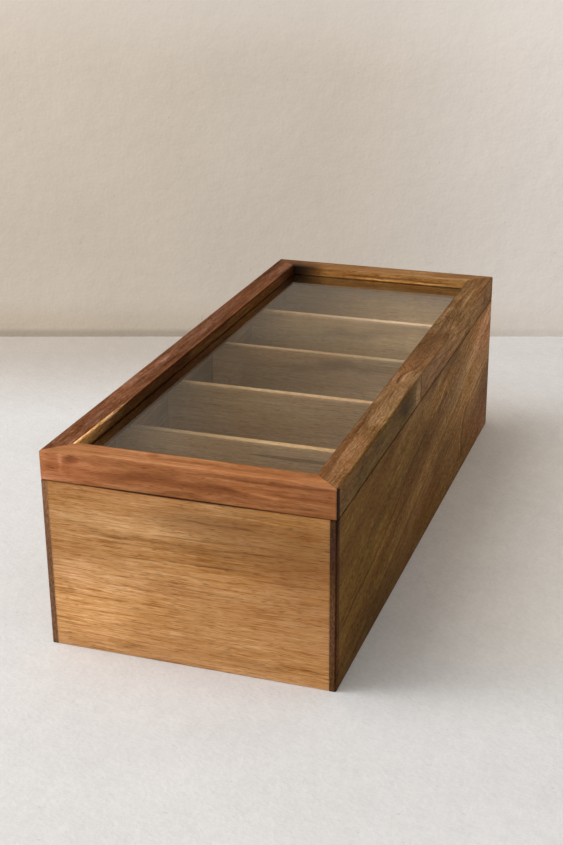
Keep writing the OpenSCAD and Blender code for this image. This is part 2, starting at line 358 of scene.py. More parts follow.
def makeFigureGroup():
    inputs = {"Place": "Vector", "Seed": "Vector", "Pith": "Vector"}
    inputs |= {name: "Float" for name in figureInputs}
    outputs = {"Tone": "Float", "Streak": "Float", "Fibre": "Float", "Pore": "Float", "Hue": "Float"}
    g, given, result = newGroup("woodFigure", inputs, outputs)

    def centred(value):
        return calc(g, "SUBTRACT", value, 0.5)

    # the grain wanders slowly along the board, with a smaller wave on top
    sown = vectorCalc(g, "ADD", given["Place"], given["Seed"])
    sideways = put(g, "CombineXYZ", {"Y": given["Wander"], "Z": given["Wander"]}).outputs[0]
    bent = given["Place"]
    for size, reach in (((170, 34, 34), 2.0), ((36, 8, 8), 0.35)):
        drift = vectorCalc(g, "SUBTRACT", noise(g, sown, size, 2, output="Color"), (0.5, 0.5, 0.5))
        drift = vectorCalc(g, "MULTIPLY", vectorCalc(g, "MULTIPLY", drift, sideways), (reach,) * 3)
        bent = vectorCalc(g, "ADD", bent, drift)
    bentSown = vectorCalc(g, "ADD", bent, given["Seed"])

    # growth rings round the pith
    fromPith = vectorCalc(g, "MULTIPLY", vectorCalc(g, "SUBTRACT", bent, given["Pith"]), (0, 1, 1))
    radius = calc(g, "DIVIDE", vectorCalc(g, "LENGTH", fromPith), given["Ring Width"])
    along = vectorCalc(g, "MULTIPLY", bentSown, (0.004, 0.004, 0))
    ringPlace = vectorCalc(g, "ADD", along, put(g, "CombineXYZ", {"Z": radius}).outputs[0])
    rings = noise(g, ringPlace, (1, 1, 1), 3, 0.55)
    finer = noise(g, ringPlace, (1, 1, 0.42), 1.5, 0.5)
    lines = ramp01(g, calc(g, "ABSOLUTE", centred(finer)), 0.03, 0.0)

    squeeze = calc(g, "DIVIDE", 1.0, given["Length"])
    shorter = put(g, "CombineXYZ", {"X": squeeze, "Y": 1.0, "Z": 1.0}).outputs[0]
    shortened = vectorCalc(g, "MULTIPLY", bentSown, shorter)
    streaks = noise(g, shortened, (48, 1.5, 1.5), 3, 0.6)
    blotches = noise(g, shortened, (46, 2.8, 2.8), 2.5, 0.6)
    contour = noise(g, shortened, (80, 1.5, 1.5), 1.5, 0.5)
    hairs = calc(g, "MULTIPLY", ramp01(g, calc(g, "ABSOLUTE", centred(contour)), 0.035, 0.0), blotches)
    fibres = noise(g, bentSown, (13, 0.5, 0.5), 2, 0.55)
    flecks = noise(g, bentSown, (2.6, 0.75, 0.75), 1)
    pores = ramp01(g, noise(g, bentSown, (4.5, 0.3, 0.3), 0), 0.60, 0.74)
    clouds = noise(g, sown, (95, 24, 24), 2)
    ripple = noise(g, sown, (8, 26, 26), 1)
    tone = 0.5
    for field, name, gain in (
        (rings, "Rings", 2.2), (streaks, "Streaks", 2.2), (fibres, "Fibres", 2.0), (clouds, "Clouds", 2.2),
        (ripple, "Ripple", 2.0), (blotches, "Blotches", 2.2), (flecks, "Flecks", 2.0),
    ):
        swing = calc(g, "MULTIPLY", calc(g, "MULTIPLY", centred(field), gain), given[name])
        tone = calc(g, "ADD", tone, swing)
    tone = calc(g, "SUBTRACT", tone, calc(g, "MULTIPLY", lines, given["Lines"]))
    tone = calc(g, "SUBTRACT", tone, calc(g, "MULTIPLY", hairs, given["Hairs"]))
    wire(g, tone, result["Tone"])
    wire(g, streaks, result["Streak"])
    wire(g, fibres, result["Fibre"])
    wire(g, pores, result["Pore"])
    wire(g, noise(g, sown, (130, 30, 30), 2, 0.55), result["Hue"])
    return g


def makeEdgeGroup():
    # distance to the nearest edge of a block, in mm: the middle one of the three distances to its faces
    inputs = {"Place": "Vector", "Centre": "Vector", "Half": "Vector"}
    g, given, result = newGroup("edgeDistance", inputs, {"Distance": "Float"})
    away = vectorCalc(g, "ABSOLUTE", vectorCalc(g, "SUBTRACT", given["Place"], given["Centre"]))
    left = put(g, "SeparateXYZ", {"Vector": vectorCalc(g, "SUBTRACT", given["Half"], away)}).outputs
    low, high = calc(g, "MINIMUM", left[0], left[1]), calc(g, "MAXIMUM", left[0], left[1])
    wire(g, calc(g, "MAXIMUM", low, calc(g, "MINIMUM", high, left[2])), result["Distance"])
    return g


def makePatchGroup():
    # a soft patch: 1 at its centre and 0 past its half size
    inputs = {"Place": "Vector", "Centre": "Vector", "Half": "Vector", "Turn": "Vector", "Full To": "Float"}
    g, given, result = newGroup("softPatch", inputs, {"Amount": "Float"})
    away = vectorCalc(g, "SUBTRACT", given["Place"], given["Centre"])
    turned = put(g, "VectorRotate", {"Vector": away, "Rotation": given["Turn"]}, rotation_type="EULER_XYZ")
    reach = vectorCalc(g, "LENGTH", vectorCalc(g, "DIVIDE", turned.outputs[0], given["Half"]))
    wire(g, ramp01(g, reach, 1.0, given["Full To"]), result["Amount"])
    return g


def makeStrokeGroup():
    # a soft line on one face, bowed sideways: 1 along its middle and 0 past its half width
    vectors = ("Place", "Centre", "Along", "Aside", "Normal")
    inputs = {name: "Vector" for name in vectors} | {"Bow": "Float", "Half Width": "Float"}
    g, given, result = newGroup("softStroke", inputs, {"Amount": "Float"})
    away = vectorCalc(g, "SUBTRACT", given["Place"], given["Centre"])
    t, off, deep = (vectorCalc(g, "DOT_PRODUCT", away, given[n]) for n in ("Along", "Aside", "Normal"))
    bowed = calc(g, "MULTIPLY_ADD", calc(g, "MULTIPLY", t, t), -1.0, 1.0)
    bowed = calc(g, "MULTIPLY", bowed, given["Bow"])
    reach = calc(g, "DIVIDE", calc(g, "ABSOLUTE", calc(g, "SUBTRACT", off, bowed)), given["Half Width"])
    amount = calc(g, "MULTIPLY", ramp01(g, reach, 1.0, 0.2), ramp01(g, calc(g, "ABSOLUTE", t), 1.0, 0.55))
    wire(g, calc(g, "MULTIPLY", amount, ramp01(g, calc(g, "ABSOLUTE", deep), 3.4, 2.4)), result["Amount"])
    return g


figureGroup, edgeGroup = makeFigureGroup(), makeEdgeGroup()
patchGroup, strokeGroup = makePatchGroup(), makeStrokeGroup()


def addPatch(tree, place, centre, half, turn=(0, 0, 0), sharp=False):
    return addGroup(tree, patchGroup, {
        "Place": place, "Centre": centre, "Half": half, "Turn": tuple(math.radians(a) for a in turn),
        "Full To": 0.6 if sharp else 0.15,
    }).outputs[0]


def addStroke(tree, place, face, start, end, bow, halfWidth):
    start, end = Vector(start), Vector(end)
    along = (end - start) / 2
    normal = Vector([float(axis == face) for axis in "xyz"])
    return addGroup(tree, strokeGroup, {
        "Place": place, "Centre": tuple((start + end) / 2), "Along": tuple(along / along.length_squared),
        "Aside": tuple(normal.cross(along).normalized()), "Normal": tuple(normal),
        "Bow": bow, "Half Width": halfWidth,
    }).outputs[0]


woodDefaults = {
    "grain": "x",  # the axis that the grain follows
    "turn": 0.0,  # degrees by which the grain leaves that axis, seen on an upright face
    "dip": 0.0,  # and seen from above
    "seed": (0.0, 0.0, 0.0),
    "pith": (0.0, -60.0, -45.0),
    "ringWidth": 9.0,
    "wander": 5.0,
    "rings": 0.45,
    "lines": 0.10,
    "length": 1.0,  # of the streaks, blotches and hair lines
    "streaks": 0.42,
    "blotches": 0.0,
    "hairs": 0.25,
    "fibres": 0.42,
    "flecks": 0.12,
    "clouds": 0.25,
    "ripple": 0.08,
    "pores": 0.35,
    "colour": (150, 105, 60),  # the middle shade
    "contrast": 0.85,
    "leaning": (0.62, 1.0, 1.8),  # how fast red, green and blue fall towards the dark streaks
    "markLeaning": (0.9, 1.0, 1.15),  # and in the patches and strokes
    "tint": (160, 92, 52),
    "tintAmount": 0.2,
    "endColour": (84, 55, 42),
    "endAmount": 0.9,
    "arris": 0.45,  # how dark the wood gets right at its edges: partly worn finish, partly painted shade
    "arrisWidth": 1.0,
    "roughness": 0.56,
    "mirror": 0.2,  # how strongly the surface mirrors
    # centre mm, half size mm, turn degrees, how much paler, and "sharp" for clean edges
    "patches": [],
    # the axis that the face looks along, from, to, bow mm, half width mm, how much paler
    "strokes": [],
    # centre, half size and turn as in patches, the colour that the middle shade gets, how much of it
    "stains": [],
    "pushes": [],  # centre mm, half size mm, how far the grain is pushed aside there, mm
}


def shadesOf(colour, contrast, leaning):
    # from the darkest streak to the palest wood: dark wood is redder and pale wood greyer
    middle = linear(colour)
    steps = (-1.5, -0.55, 0, 0.45, 0.8)
    return [
        tuple(c * math.exp(contrast * step * k) for c, k in zip(middle, leaning)) + (1.0,)
        for step in steps
    ]


def woodMaterial(nodeName, changes):
    s = woodDefaults | changes
    material, tree = newMaterial("wood_" + nodeName)
    inMm = placeInMm(tree)
    pushed = inMm
    for centre, half, push in s["pushes"]:
        amount = addPatch(tree, inMm, centre, half)
        scaled = put(tree, "VectorMath", {0: push, "Scale": amount}, operation="SCALE").outputs[0]
        pushed = vectorCalc(tree, "ADD", pushed, scaled)
    # lay the grain along X: first the board's axis, then the lean of the grain
    quarter = (0.0, 0.0, math.radians(-90) if s["grain"] == "y" else 0.0)
    lean = (0.0, math.radians(s["turn"]), math.radians(s["dip"]))
    laid = pushed
    for angles in (quarter, lean):
        turned = put(tree, "VectorRotate", {"Vector": laid, "Rotation": angles}, rotation_type="EULER_XYZ")
        laid = turned.outputs[0]
    inputs = {"Place": laid, "Seed": s["seed"], "Pith": s["pith"]}
    inputs |= {name: s[key] for name, key in figureInputs.items()}
    figure = addGroup(tree, figureGroup, inputs).outputs

    # darker and paler patches, broken up by the streaks unless they are sharp
    drift = noise(tree, inMm, (30, 30, 30), 2, output="Color")
    drift = vectorCalc(tree, "SUBTRACT", drift, (0.5, 0.5, 0.5))
    drifted = vectorCalc(tree, "ADD", inMm, vectorCalc(tree, "MULTIPLY", drift, (12, 12, 12)))
    broken = calc(tree, "MULTIPLY_ADD", figure["Streak"], 1.6, 0.2)
    marks = 0.0
    for centre, half, turn, amount, *sharp in s["patches"]:
        patch = addPatch(tree, inMm if sharp else drifted, centre, half, turn, sharp)
        patch = patch if sharp else calc(tree, "MULTIPLY", patch, broken)
        marks = calc(tree, "MULTIPLY_ADD", patch, amount, marks)
    wavering = vectorCalc(tree, "ADD", inMm, vectorCalc(tree, "MULTIPLY", drift, (2.5, 2.5, 2.5)))
    for *line, amount in s["strokes"]:
        marks = calc(tree, "MULTIPLY_ADD", addStroke(tree, wavering, *line), amount, marks)
    marks = calc(tree, "MINIMUM", calc(tree, "MAXIMUM", marks, -0.75), 0.4)
    darker = put(tree, "CombineColor", {
        name: calc(tree, "POWER", math.exp(2 * s["contrast"] * k), marks)
        for name, k in zip(("Red", "Green", "Blue"), s["markLeaning"])
    }).outputs[0]
    shades = put(tree, "ValToRGB", {"Fac": figure["Tone"]})
    colours = shadesOf(s["colour"], s["contrast"], s["leaning"])
    stops = shades.color_ramp.elements
    while len(stops) < len(colours):
        stops.new(0.5)
    for i, (stop, colour) in enumerate(zip(stops, colours)):
        stop.position, stop.color = i / (len(colours) - 1), colour
    colour = blend(tree, 1.0, shades.outputs[0], darker, "MULTIPLY")
    tinted = calc(tree, "MULTIPLY", ramp01(tree, figure["Hue"], 0.42, 0.64), s["tintAmount"])
    colour = blend(tree, tinted, colour, linear(s["tint"]))
    inPores = calc(tree, "MULTIPLY", figure["Pore"], s["pores"])
    colour = blend(tree, inPores, colour, linear((60, 36, 20)), "MULTIPLY")

    # end grain drinks more oil and goes darker
    axis = (1.0, 0.0, 0.0) if s["grain"] == "x" else (0.0, 1.0, 0.0)
    normal = put(tree, "TexCoord").outputs["Normal"]
    facing = calc(tree, "ABSOLUTE", vectorCalc(tree, "DOT_PRODUCT", normal, axis))
    endGrain = calc(tree, "MULTIPLY", ramp01(tree, facing, 0.5, 0.95), s["endAmount"])
    pricks = ramp01(tree, noise(tree, inMm, (0.6, 0.6, 2.4), 2, 0.6), 0.36, 0.66)
    pricked = blend(tree, pricks, linear(tuple(0.66 * c for c in s["endColour"])), linear(s["endColour"]))
    colour = blend(tree, endGrain, colour, pricked)

    # stained places, the later ones over the earlier ones
    stained = (1.0, 1.0, 1.0, 1.0)
    for centre, half, turn, stain, amount, *sharp in s["stains"]:
        patch = addPatch(tree, inMm, centre, half, turn, sharp)
        ratio = tuple(a / b for a, b in zip(linear(stain), linear(s["colour"])))
        stained = blend(tree, calc(tree, "MULTIPLY", patch, amount), stained, ratio)
    colour = blend(tree, 1.0, colour, stained, "MULTIPLY")

    low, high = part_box(nodeName)
    edge = addGroup(tree, edgeGroup, {
        "Place": inMm, "Centre": tuple((low + high) * 500), "Half": tuple((high - low) * 500),
    }).outputs[0]
    # every edge darkened: partly worn finish, partly painted shade of rounded arrises and seams
    edgeWearAndShade = calc(tree, "MULTIPLY", ramp01(tree, edge, s["arrisWidth"], 0.15), s["arris"])
    colour = blend(tree, edgeWearAndShade, colour, linear((96, 62, 40)), "MULTIPLY")

    height = calc(tree, "MULTIPLY_ADD", figure["Pore"], -0.8, calc(tree, "MULTIPLY", figure["Fibre"], 0.8))
    bump = put(tree, "Bump", {"Height": height, "Strength": 0.35, "Distance": 0.00012})
    uneven = calc(tree, "SUBTRACT", figure["Fibre"], 0.5)
    roughness = calc(tree, "MULTIPLY_ADD", uneven, 0.3, s["roughness"])
    roughness = calc(tree, "MULTIPLY_ADD", figure["Pore"], 0.12, roughness)
    shader = put(tree, "BsdfPrincipled", {
        "Base Color": colour, "Roughness": roughness, "Specular IOR Level": s["mirror"],
        "Normal": bump.outputs[0],
    })
    put(tree, "OutputMaterial", {"Surface": shader.outputs[0]})
    return material


paleInside = {"rings": 0.25, "streaks": 0.22, "hairs": 0.12, "fibres": 0.3, "contrast": 0.62, "arris": 0.1}


def dividerTopLightShade(y, shade, leftPaintedShade):
    # the top of a divider: pale, with painted light on it, and darker to the left as painted shade
    return [
        ((0, y, 90.5), (900, 12, 2.8), (0, 0, 0), shade, 1.0),
        ((-75, y, 90.5), (110, 12, 2.8), (0, 0, 0), leftPaintedShade, 1.0),
    ]


boards = {
    "end_panel_front": {
        "colour": (207, 153, 96), "seed": (310, 40, 12), "rings": 0.26, "ringWidth": 6, "wander": 3.4,
        "streaks": 0.34, "length": 0.62, "hairs": 0.4, "fibres": 0.42, "flecks": 0.08, "contrast": 0.72,
        "arris": 0.2,
        "patches": [
            ((46, -180, 74), (74, 60, 27), (0, 0, 0), -0.32),
            ((4, -180, 80), (44, 40, 9), (0, 0, 0), -0.22),
            ((-38, -180, 68), (44, 40, 2.4), (0, 0, 0), -0.16),
            ((6, -180, 62), (40, 40, 8), (0, 0, 0), -0.16),
            ((70, -180, 52), (50, 60, 42), (0, 0, 0), -0.17),
            ((-58, -180, 26), (66, 60, 34), (0, 0, 0), 0.22),
            ((-30, -180, 6), (16, 40, 2.0), (0, 0, 0), -0.24),
            ((36, -180, 8), (30, 40, 4), (0, 0, 0), -0.12),
        ],
        "strokes": [
            ("y", (-58, -180, 66), (66, -180, 68), 1.0, 0.6, -0.26),
            ("y", (-20, -180, 69.5), (52, -180, 71), 0.0, 0.7, -0.3),
            ("y", (-8, -180, 80), (40, -180, 79), 0.4, 0.7, -0.3),
            ("y", (-18, -180, 56.5), (34, -180, 57.5), 0.5, 0.7, -0.34),
            ("y", (30, -180, 53), (74, -180, 53.5), 0.0, 0.6, -0.34),
            ("y", (-40, -180, 56), (-10, -180, 55), 0.0, 0.6, -0.3),
            ("y", (-22, -180, 43), (34, -180, 42), 0.6, 0.6, -0.3),
            ("y", (-52, -180, 63), (-20, -180, 62.5), 0.0, 0.5, -0.3),
            ("y", (6, -180, 84.5), (58, -180, 84), 0.0, 0.6, 0.25),
            ("y", (-30, -180, 60.5), (40, -180, 61.5), 0.0, 0.8, 0.2),
        ],
        "stains": [
            ((60, -180, 70), (110, 60, 60), (0, 0, 0), (203, 147, 84), 0.8),
            ((-6, -180, 90.6), (70, 5, 1.2), (0, 0, 0), (100, 52, 12), 0.9, "sharp"),
        ],
    },
    "end_panel_rear": paleInside | {
        "colour": (251, 205, 138), "seed": (910, 440, 212), "ringWidth": 8,
        # darker at the left: painted shade of the box's left wall
        "stains": [((-75, 174, 70), (95, 6, 80), (0, 0, 0), (178, 142, 88), 0.9)],
    },
    "side_board_left": {
        "grain": "y", "colour": (138, 97, 54), "seed": (20, 700, 90), "turn": 3, "dip": 2,
        "pith": (0, 60, 120), "rings": 0.6, "streaks": 0.5, "endColour": (146, 100, 68),
        "stains": [
            ((-72, -180, 88), (4, 4, 40), (0, 0, 0), (168, 120, 68), 1.0),
            ((-69, 12, 72), (3, 30, 14), (0, 0, 0), (116, 82, 44), 0.9),
        ],
    },
    "side_board_right": {
        "grain": "y", "colour": (136, 97, 46), "seed": (120, 60, 50), "turn": 11.5, "dip": 1,
        "pith": (0, -60, -90), "rings": 0.46, "ringWidth": 11, "streaks": 0.4, "fibres": 0.7,
        "flecks": 0.62, "hairs": 0.15, "arris": 0.5, "contrast": 0.95, "leaning": (0.68, 1.0, 2.2),
        "mirror": 0.05, "tint": (150, 92, 56),
        "endColour": (116, 80, 56),
        "patches": [
            ((75, -15, 59), (8, 46, 7), (-11.5, 0, 0), -0.08),
            ((75, -95, 46), (8, 46, 12), (-8, 0, 0), 0.2),
            ((75, 30, 76), (8, 60, 14), (0, 0, 0), 0.3),
            ((75, -120, 70), (8, 80, 40), (0, 0, 0), -0.06),
            ((75, 10, 42), (8, 130, 8), (-11.5, 0, 0), 0.18),
            ((75, 27, 33), (8, 30, 8), (-11.5, 0, 0), -0.2),
            ((75, 110, 45), (8, 70, 24), (0, 0, 0), 0.3),
            ((75, 150, 74), (8, 100, 44), (0, 0, 0), 0.4),
            ((75, 150, 12), (8, 46, 26), (0, 0, 0), 0.1),
            ((75, -100, 4), (8, 140, 22), (0, 0, 0), -0.18),
        ],
        "strokes": [
            ("x", (75, -200, 28), (75, -40, 58), -4.5, 1.4, -0.42),
            ("x", (75, -74, 51), (75, 60, 71), 4.0, 1.5, -0.28),
            ("x", (75, -150, 56), (75, -20, 78), 0.0, 3.0, 0.14),
            ("x", (75, -150, 12), (75, 0, 36), -3.0, 2.0, -0.14),
            ("x", (75, 97, 2), (75, 120, 45), 18.0, 1.7, 0.55),
            ("x", (75, 101, 2), (75, 126, 42), 17.0, 2.4, -0.4),
        ],
        "stains": [
            ((75, 156, 76), (20, 60, 34), (0, 0, 0), (152, 100, 56), 0.64),
            ((75, -140, 60), (20, 190, 120), (0, 0, 0), (115, 80, 20), 0.95),
            ((75, 150, 14), (8, 46, 30), (0, 0, 0), (144, 98, 56), 0.8),
            ((75, 10, 6), (8, 90, 32), (0, 0, 0), (118, 79, 22), 0.95),
            ((72.8, -180, 76), (3, 1, 30), (0, 0, 0), (94, 62, 34), 0.9),
            ((72.8, -180, 34), (3, 1, 34), (0, 0, 0), (136, 96, 48), 0.9),
            ((75.3, -180, 45), (1.5, 5.0, 400), (0, 0, 0), (82, 48, 10), 1.0, "sharp"),
            ((75.3, -180, 8), (1.5, 5.0, 44), (0, 0, 0), (104, 64, 24), 0.9),
            ((75.3, -180, 88), (1.5, 5.0, 26), (0, 0, 0), (48, 22, 4), 1.0),
        ],
    },
    "bottom_panel": paleInside | {"grain": "y", "colour": (176, 138, 94), "seed": (77, 8, 150)},
    "divider_1": paleInside | {
        "colour": (211, 172, 127), "seed": (5, 88, 31),
        "patches": [((35, -107.6, 83), (34, 3, 1.2), (0, 0, 0), -0.6, "sharp")],
        "stains": dividerTopLightShade(-105.6, (236, 188, 134), (124, 97, 69)),
    },
    "divider_2": paleInside | {
        "colour": (196, 159, 114), "seed": (405, 188, 61),
        "stains": [
            # painted shade high up at the left, and painted light below it
            ((-60, -37, 86), (60, 4, 40), (0, 0, 0), (186, 152, 106), 0.9),
            ((-44, -37, 70), (46, 4, 18), (0, 0, 0), (218, 184, 142), 0.9),
            *dividerTopLightShade(-35.2, (243, 198, 154), (188, 154, 110)),
        ],
    },
    "divider_3": paleInside | {
        "colour": (192, 155, 111), "seed": (605, 288, 91),
        "patches": [
            # painted shadow of the lid rails high up, and painted light lower down at the right
            ((10, 33.2, 82), (50, 4, 5), (0, 3, 0), -0.5),
            ((56, 33.2, 67), (60, 4, 8), (0, 0, 0), 0.3),
        ],
        "stains": [
            # painted shade in the middle, and painted light in the shaded left corner
            ((-14, 33.2, 74), (42, 4, 18), (0, 0, 0), (172, 138, 94), 0.9),
            ((-68, 33.2, 74), (26, 4, 24), (0, 0, 0), (240, 206, 164), 1.0),
            *dividerTopLightShade(35.2, (208, 170, 128), (192, 162, 122)),
        ],
    },
    "divider_4": paleInside | {
        "colour": (200, 159, 104), "seed": (805, 388, 131),
        "patches": [
            # painted light at the right, painted shadow of the lid rails high up, and painted light on the
            # top at the right
            ((50, 103.6, 76), (60, 4, 14), (0, 0, 0), 0.3),
            ((-5, 103.6, 79), (50, 4, 5), (0, 6, 0), -0.4),
            ((45, 105.6, 90.5), (40, 12, 2.8), (0, 0, 0), 0.14, "sharp"),
        ],
        "stains": [
            # painted shade at the left
            ((-15, 103.6, 74), (40, 4, 14), (0, 0, 0), (178, 142, 92), 0.8),
            *dividerTopLightShade(105.6, (255, 214, 176), (206, 164, 114)),
        ],
    },
    "lid_rail_front": {
        "colour": (168, 106, 58), "seed": (12, 14, 310), "rings": 0.36, "ringWidth": 5,
        "pith": (0, -150, 40), "markLeaning": (0.76, 1.0, 1.4), "contrast": 0.74, "streaks": 0.25,
        "length": 0.55, "blotches": 0.2, "hairs": 0.15, "fibres": 0.34, "arris": 0.2,
        "patches": [
            ((-57, -180, 103), (6, 3, 4), (0, 0, 0), -0.5),
            ((-70, -180, 99), (5, 3, 3), (0, 0, 0), -0.2),
            ((-66, -180, 92), (12, 3, 3), (0, 0, 0), 0.2),
            ((-34, -180, 102), (30, 6, 2.4), (0, 3, 0), 0.26),
            ((-22, -180, 98), (26, 6, 4), (0, 3, 0), -0.5),
            ((14, -180, 95), (40, 6, 3), (0, -2, 0), -0.42),
            ((40, -180, 99), (34, 6, 2.6), (0, 3, 0), 0.24),
            ((64, -180, 95), (16, 6, 2.6), (0, 0, 0), 0.12),
            ((-2, -180, 90.5), (34, 6, 2.0), (0, 0, 0), -0.4),
            ((26, -180, 91.5), (10, 6, 1.4), (0, 0, 0), -0.3),
        ],
        "strokes": [
            ("y", (-63.6, -180, 107), (-63.2, -180, 93), 0.0, 1.9, 0.2),
            ("y", (6, -180, 104.2), (82, -180, 104.2), 0.0, 1.1, -0.4),
            ("y", (-4, -180, 102.6), (70, -180, 102), 0.0, 1.2, 0.22),
            ("y", (2, -180, 99.5), (46, -180, 95.5), -0.6, 1.6, -0.3),
            ("y", (22, -180, 98.6), (66, -180, 96.5), 0.0, 1.2, 0.22),
            ("y", (30, -180, 94), (74, -180, 93), 0.0, 1.0, -0.14),
            # painted highlight along the outer top arris
            ("z", (-66, -177, 105.5), (74, -177, 105.5), 0.0, 1.6, 0.24),
            ("z", (-30, -171.5, 105.5), (66, -172, 105.5), 0.0, 2.2, -0.3),
            ("z", (-56, -174, 105.5), (-16, -173.5, 105.5), 0.0, 1.2, -0.16),
            # painted highlight along the inner top arris
            ("z", (-58, -167.4, 105.5), (60, -167.4, 105.5), 0.0, 1.3, 0.24),
        ],
        "stains": [
            ((-62, -180, 98), (34, 5, 16), (0, 0, 0), (192, 120, 73), 0.8),
            ((-75, -180, 98), (8, 3, 16), (0, 0, 0), (212, 140, 94), 0.8),
            ((62, -180, 97), (26, 5, 16), (0, 0, 0), (152, 94, 50), 0.8),
            ((0, -173, 106), (400, 9, 2.5), (0, 0, 0), (192, 125, 74), 0.75),
            ((-19.5, -168.6, 105.5), (5.5, 3.4, 2.5), (0, 0, 0), (150, 78, 36), 0.85),
            ((-17, -172.6, 105.5), (4.5, 1.6, 2.5), (0, 0, 0), (168, 96, 46), 0.7),
            # painted highlight along the inner top arris
            ((0, -165.3, 105.9), (400, 1.2, 1.2), (0, 0, 0), (206, 146, 104), 0.7),
            ((-4, -180, 90.0), (78, 5, 0.9), (0, 0, 0), (88, 42, 10), 1.0, "sharp"),
            ((75.2, -180.2, 98), (1.0, 1.2, 400), (0, 0, 0), (66, 34, 14), 1.0, "sharp"),
        ],
    },
    "lid_rail_rear": {
        "colour": (164, 116, 64), "seed": (612, 114, 30), "rings": 0.4, "ringWidth": 5, "streaks": 0.44,
        "length": 0.6, "blotches": 0.25, "contrast": 0.8, "arris": 0.1, "flecks": 0.3,
        "patches": [
            # painted shadow of the left rail at the left end
            ((-64, 168, 102), (30, 16, 24), (0, 0, 0), -0.75),
            ((50, 174, 105.5), (30, 10, 3), (0, 0, 0), -0.14),
        ],
        "strokes": [
            ("y", (-30, 165.5, 102.6), (60, 165.5, 102), 0.0, 0.9, -0.4),
            ("y", (-20, 165.5, 100.8), (50, 165.5, 100.8), 0.0, 0.8, 0.5),
        ],
        "stains": [
            ((0, 165.5, 102), (400, 3, 6), (0, 0, 0), (178, 119, 54), 0.85),
            # painted shadow of the left rail at the left end of the inner face
            ((-62, 165.5, 102), (28, 6, 20), (0, 0, 0), (66, 44, 4), 1.0),
            ((0, 165.5, 93), (400, 3, 6), (0, 0, 0), (128, 88, 40), 0.9, "sharp"),
            ((0, 180.2, 105.7), (400, 3.4, 3), (0, 0, 0), (106, 73, 36), 0.9),
        ],
    },
    "lid_rail_left": {
        "grain": "y", "colour": (120, 74, 45), "seed": (212, 214, 60), "rings": 0.4, "ringWidth": 4,
        "streaks": 0.66, "length": 0.55, "blotches": 0.32, "flecks": 0.45, "contrast": 1.15, "mirror": 0.1,
        "arris": 0.25,
        "patches": [
            ((-67, -160, 105.5), (16, 30, 3), (0, 0, 0), 0.15),
            ((-70, -70, 105.5), (6, 60, 3), (0, 0, 0), 0.2),
        ],
        "stains": [
            ((-59.9, 0, 101), (2.2, 900, 60), (0, 0, 0), (116, 72, 25), 1.0),
            ((-59.9, -77, 101), (2.2, 92, 60), (0, 0, 0), (88, 51, 10), 1.0),
            ((-59.9, 70, 101), (2.2, 50, 60), (0, 0, 0), (130, 86, 34), 0.9),
            ((-59.9, 160, 101), (2.2, 40, 60), (0, 0, 0), (70, 34, 6), 1.0),
            # painted shade: the inner face's dark colour carried onto the top at the arris
            ((-60.3, 0, 105.8), (1.3, 900, 1.2), (0, 0, 0), (86, 42, 6), 1.0, "sharp"),
            # painted highlight along the inner top arris
            ((-61.9, 0, 105.6), (0.8, 900, 1.2), (0, 0, 0), (144, 88, 46), 0.6),
            ((-61.3, -170, 105.6), (1.6, 72, 2.1), (0, 0, 0), (246, 196, 140), 1.0, "sharp"),
            ((-60.4, -168, 103.2), (2.4, 50, 5), (0, 0, 0), (200, 150, 82), 1.0),
            ((-61, 150, 105.6), (2, 44, 1.6), (0, 0, 0), (52, 20, 2), 1.0),
        ],
    },
    "lid_rail_right": {
        "grain": "y", "colour": (132, 95, 57), "seed": (412, 314, 80), "rings": 0.4, "ringWidth": 4,
        "streaks": 0.46, "length": 0.6, "blotches": 0.15, "hairs": 0.3, "fibres": 0.55, "flecks": 0.55,
        "contrast": 0.85, "leaning": (0.74, 1.0, 1.6), "mirror": 0.05, "arris": 0.42,
        "pushes": [((67, -24, 104), (11, 24, 12), (-4.0, 0, 0)), ((75, -24, 98), (5, 14, 12), (0, 0, 3))],
        "patches": [
            ((69.5, -120, 105.5), (6, 75, 3), (0, 0, 0), 0.2),
            ((66, 22, 105.5), (12, 54, 3), (0, 0, 0), -0.24),
            ((70.4, 90, 105.5), (4.5, 80, 3), (0, 0, 0), -0.04),
            ((63.6, 90, 105.5), (3.6, 80, 3), (0, 0, 0), 0.22),
            ((67.5, 120, 105.5), (9, 60, 3), (0, 0, 0), 0.14),
            ((62.6, -140, 105.5), (3.6, 60, 3), (0, 0, 0), -0.2),
            ((75, -120, 97), (3, 75, 10), (0, 0, 0), -0.2),
            ((75, -52, 99), (3, 20, 9), (0, 0, 0), -0.4),
            ((75, 90, 97), (3, 110, 14), (0, 0, 0), 0.38),
            ((75, 0, 98), (3, 16, 10), (0, 0, 0), 0.15),
            ((75, 160, 98), (3, 34, 10), (0, 0, 0), 0.3),
            ((75, -28, 96.5), (1.8, 6, 9), (0, 0, 0), 0.34, "sharp"),
        ],
        "strokes": [
            ("z", (64.8, -190, 105.5), (61.6, -62, 105.5), -1.1, 1.3, -0.3),
            ("z", (61.2, -178, 105.5), (61.2, -100, 105.5), 0.0, 0.8, 0.25),
            ("z", (73.6, -176, 105.5), (73.6, -44, 105.5), 0.0, 0.8, 0.25),
            ("z", (65.9, -40.5, 105.5), (67.2, -16.5, 105.5), 1.7, 0.8, -1.1),
            ("z", (66.6, -21, 105.5), (70.6, -3, 105.5), -0.6, 0.7, -0.9),
            ("z", (67.6, -38, 105.5), (69.0, -12, 105.5), 1.0, 1.2, 0.4),
            ("z", (62.6, -40, 105.5), (64.2, -14, 105.5), 1.2, 0.9, 0.25),
            ("z", (71.6, -28, 105.5), (73.4, -8, 105.5), 0.5, 0.7, -0.5),
            ("z", (68.8, 8, 105.5), (66.4, 150, 105.5), 0.8, 0.7, -0.16),
            ("z", (72.6, 30, 105.5), (72.0, 176, 105.5), 0.4, 0.7, -0.14),
